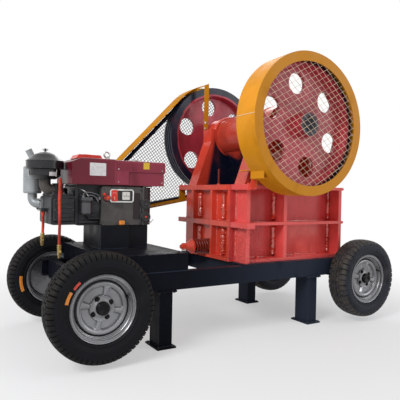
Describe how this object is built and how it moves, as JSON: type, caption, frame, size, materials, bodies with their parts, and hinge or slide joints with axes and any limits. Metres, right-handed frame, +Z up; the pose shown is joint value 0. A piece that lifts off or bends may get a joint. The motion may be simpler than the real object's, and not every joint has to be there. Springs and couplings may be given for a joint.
{
  "type": "mobile jaw crusher with diesel engine",
  "caption": "Wheeled jaw crusher: a diesel engine turns an eccentric shaft by belts; guarded flywheel and sheave over a welded crusher box on a steel frame with legs.",
  "frame": {"origin": "middle of the whole machine in x and y, on the floor under its feet", "axes": "+X from the engine to the crusher, -Y towards the round flywheel guard, +Z up"},
  "size_m": [2.4509, 1.203, 1.742],
  "materials": {
    "bare_steel": "satin",
    "belt_black": "matte",
    "cable_red": "satin",
    "cast_jaw": "matte",
    "clip_brass": "satin",
    "crusher_red": "gloss",
    "engine_grey": "satin",
    "filter_orange": "satin",
    "flywheel_red": "gloss",
    "frame_black": "satin",
    "gauge_clear": "clear",
    "guard_orange": "gloss",
    "hood_maroon": "gloss",
    "mesh_grey": "satin",
    "muffler_grey": "satin",
    "plate_silver": "satin",
    "tyre_black": "matte",
    "wheel_silver": "satin"
  },
  "bodies": {
    "chassis": {"air_cleaner": "engine_grey", "axle_front": "frame_black", "axle_rear": "frame_black", "battery_cable_long": "cable_red", "battery_cable_short": "cable_red", "bearings": "crusher_red", "belt_guard_band": "guard_orange", "belt_guard_mesh": "mesh_grey", "cable_clips": "clip_brass", "cheek_plates": "cast_jaw", "control_panel": "plate_silver", "crankcase": "engine_grey", "cross_members": "frame_black", "cylinder_head": "engine_grey", "drive_belts": "belt_black", "engine_bed": "frame_black", "engine_stand": "frame_black", "fixed_jaw_plate": "cast_jaw", "fixed_jaw_wall": "crusher_red", "flywheel_guard": "guard_orange", "flywheel_guard_mesh": "guard_orange", "gear_cover": "engine_grey", "hood": "hood_maroon", "hood_lid": "crusher_red", "intake_elbow": "muffler_grey", "legs": "frame_black", "muffler": "muffler_grey", "oil_filter": "filter_orange", "side_frame_far": "crusher_red", "side_frame_near": "crusher_red", "side_rail_far": "frame_black", "side_rail_near": "frame_black", "sight_gauge": "gauge_clear", "swing_jaw": "crusher_red", "swing_jaw_plate": "cast_jaw", "tension_rod": "crusher_red", "tension_spring": "crusher_red", "toggle_end_wall": "crusher_red", "toggle_plate": "cast_jaw", "toggle_seat": "crusher_red", "uprights": "crusher_red"},
    "rotor": {"eccentric_shaft": "bare_steel", "flywheel": "flywheel_red", "belt_sheave": "flywheel_red"},
    "engine_rotor": {"engine_wheel": "engine_grey", "engine_pulley": "bare_steel"},
    "wheel_front_near": {"rim_front_near": "wheel_silver", "tyre_front_near": "tyre_black"},
    "wheel_front_far": {"rim_front_far": "wheel_silver", "tyre_front_far": "tyre_black"},
    "wheel_rear_near": {"rim_rear_near": "wheel_silver", "tyre_rear_near": "tyre_black"},
    "wheel_rear_far": {"rim_rear_far": "wheel_silver", "tyre_rear_far": "tyre_black"}
  },
  "joints": [
    {"name": "main_shaft_spin", "type": "hinge", "parent": "chassis", "child": "rotor", "pos_m": [0.3325, 0.0015, 1.302], "axis": [0, 1, 0], "continuous": true},
    {"name": "engine_spin", "type": "hinge", "parent": "chassis", "child": "engine_rotor", "pos_m": [-0.5545, 0.5005, 0.821], "axis": [0, 1, 0], "continuous": true},
    {"name": "wheel_front_near_spin", "type": "hinge", "parent": "chassis", "child": "wheel_front_near", "pos_m": [-0.9505, -0.4845, 0.298], "axis": [0, 1, 0], "continuous": true},
    {"name": "wheel_front_far_spin", "type": "hinge", "parent": "chassis", "child": "wheel_front_far", "pos_m": [-0.9505, 0.4875, 0.298], "axis": [0, 1, 0], "continuous": true},
    {"name": "wheel_rear_near_spin", "type": "hinge", "parent": "chassis", "child": "wheel_rear_near", "pos_m": [0.9585, -0.4845, 0.298], "axis": [0, 1, 0], "continuous": true},
    {"name": "wheel_rear_far_spin", "type": "hinge", "parent": "chassis", "child": "wheel_rear_far", "pos_m": [0.9585, 0.4875, 0.298], "axis": [0, 1, 0], "continuous": true}
  ],
  "couplings": [
    {"joint": "engine_spin", "follows": "main_shaft_spin", "ratio": 4.284}
  ]
}
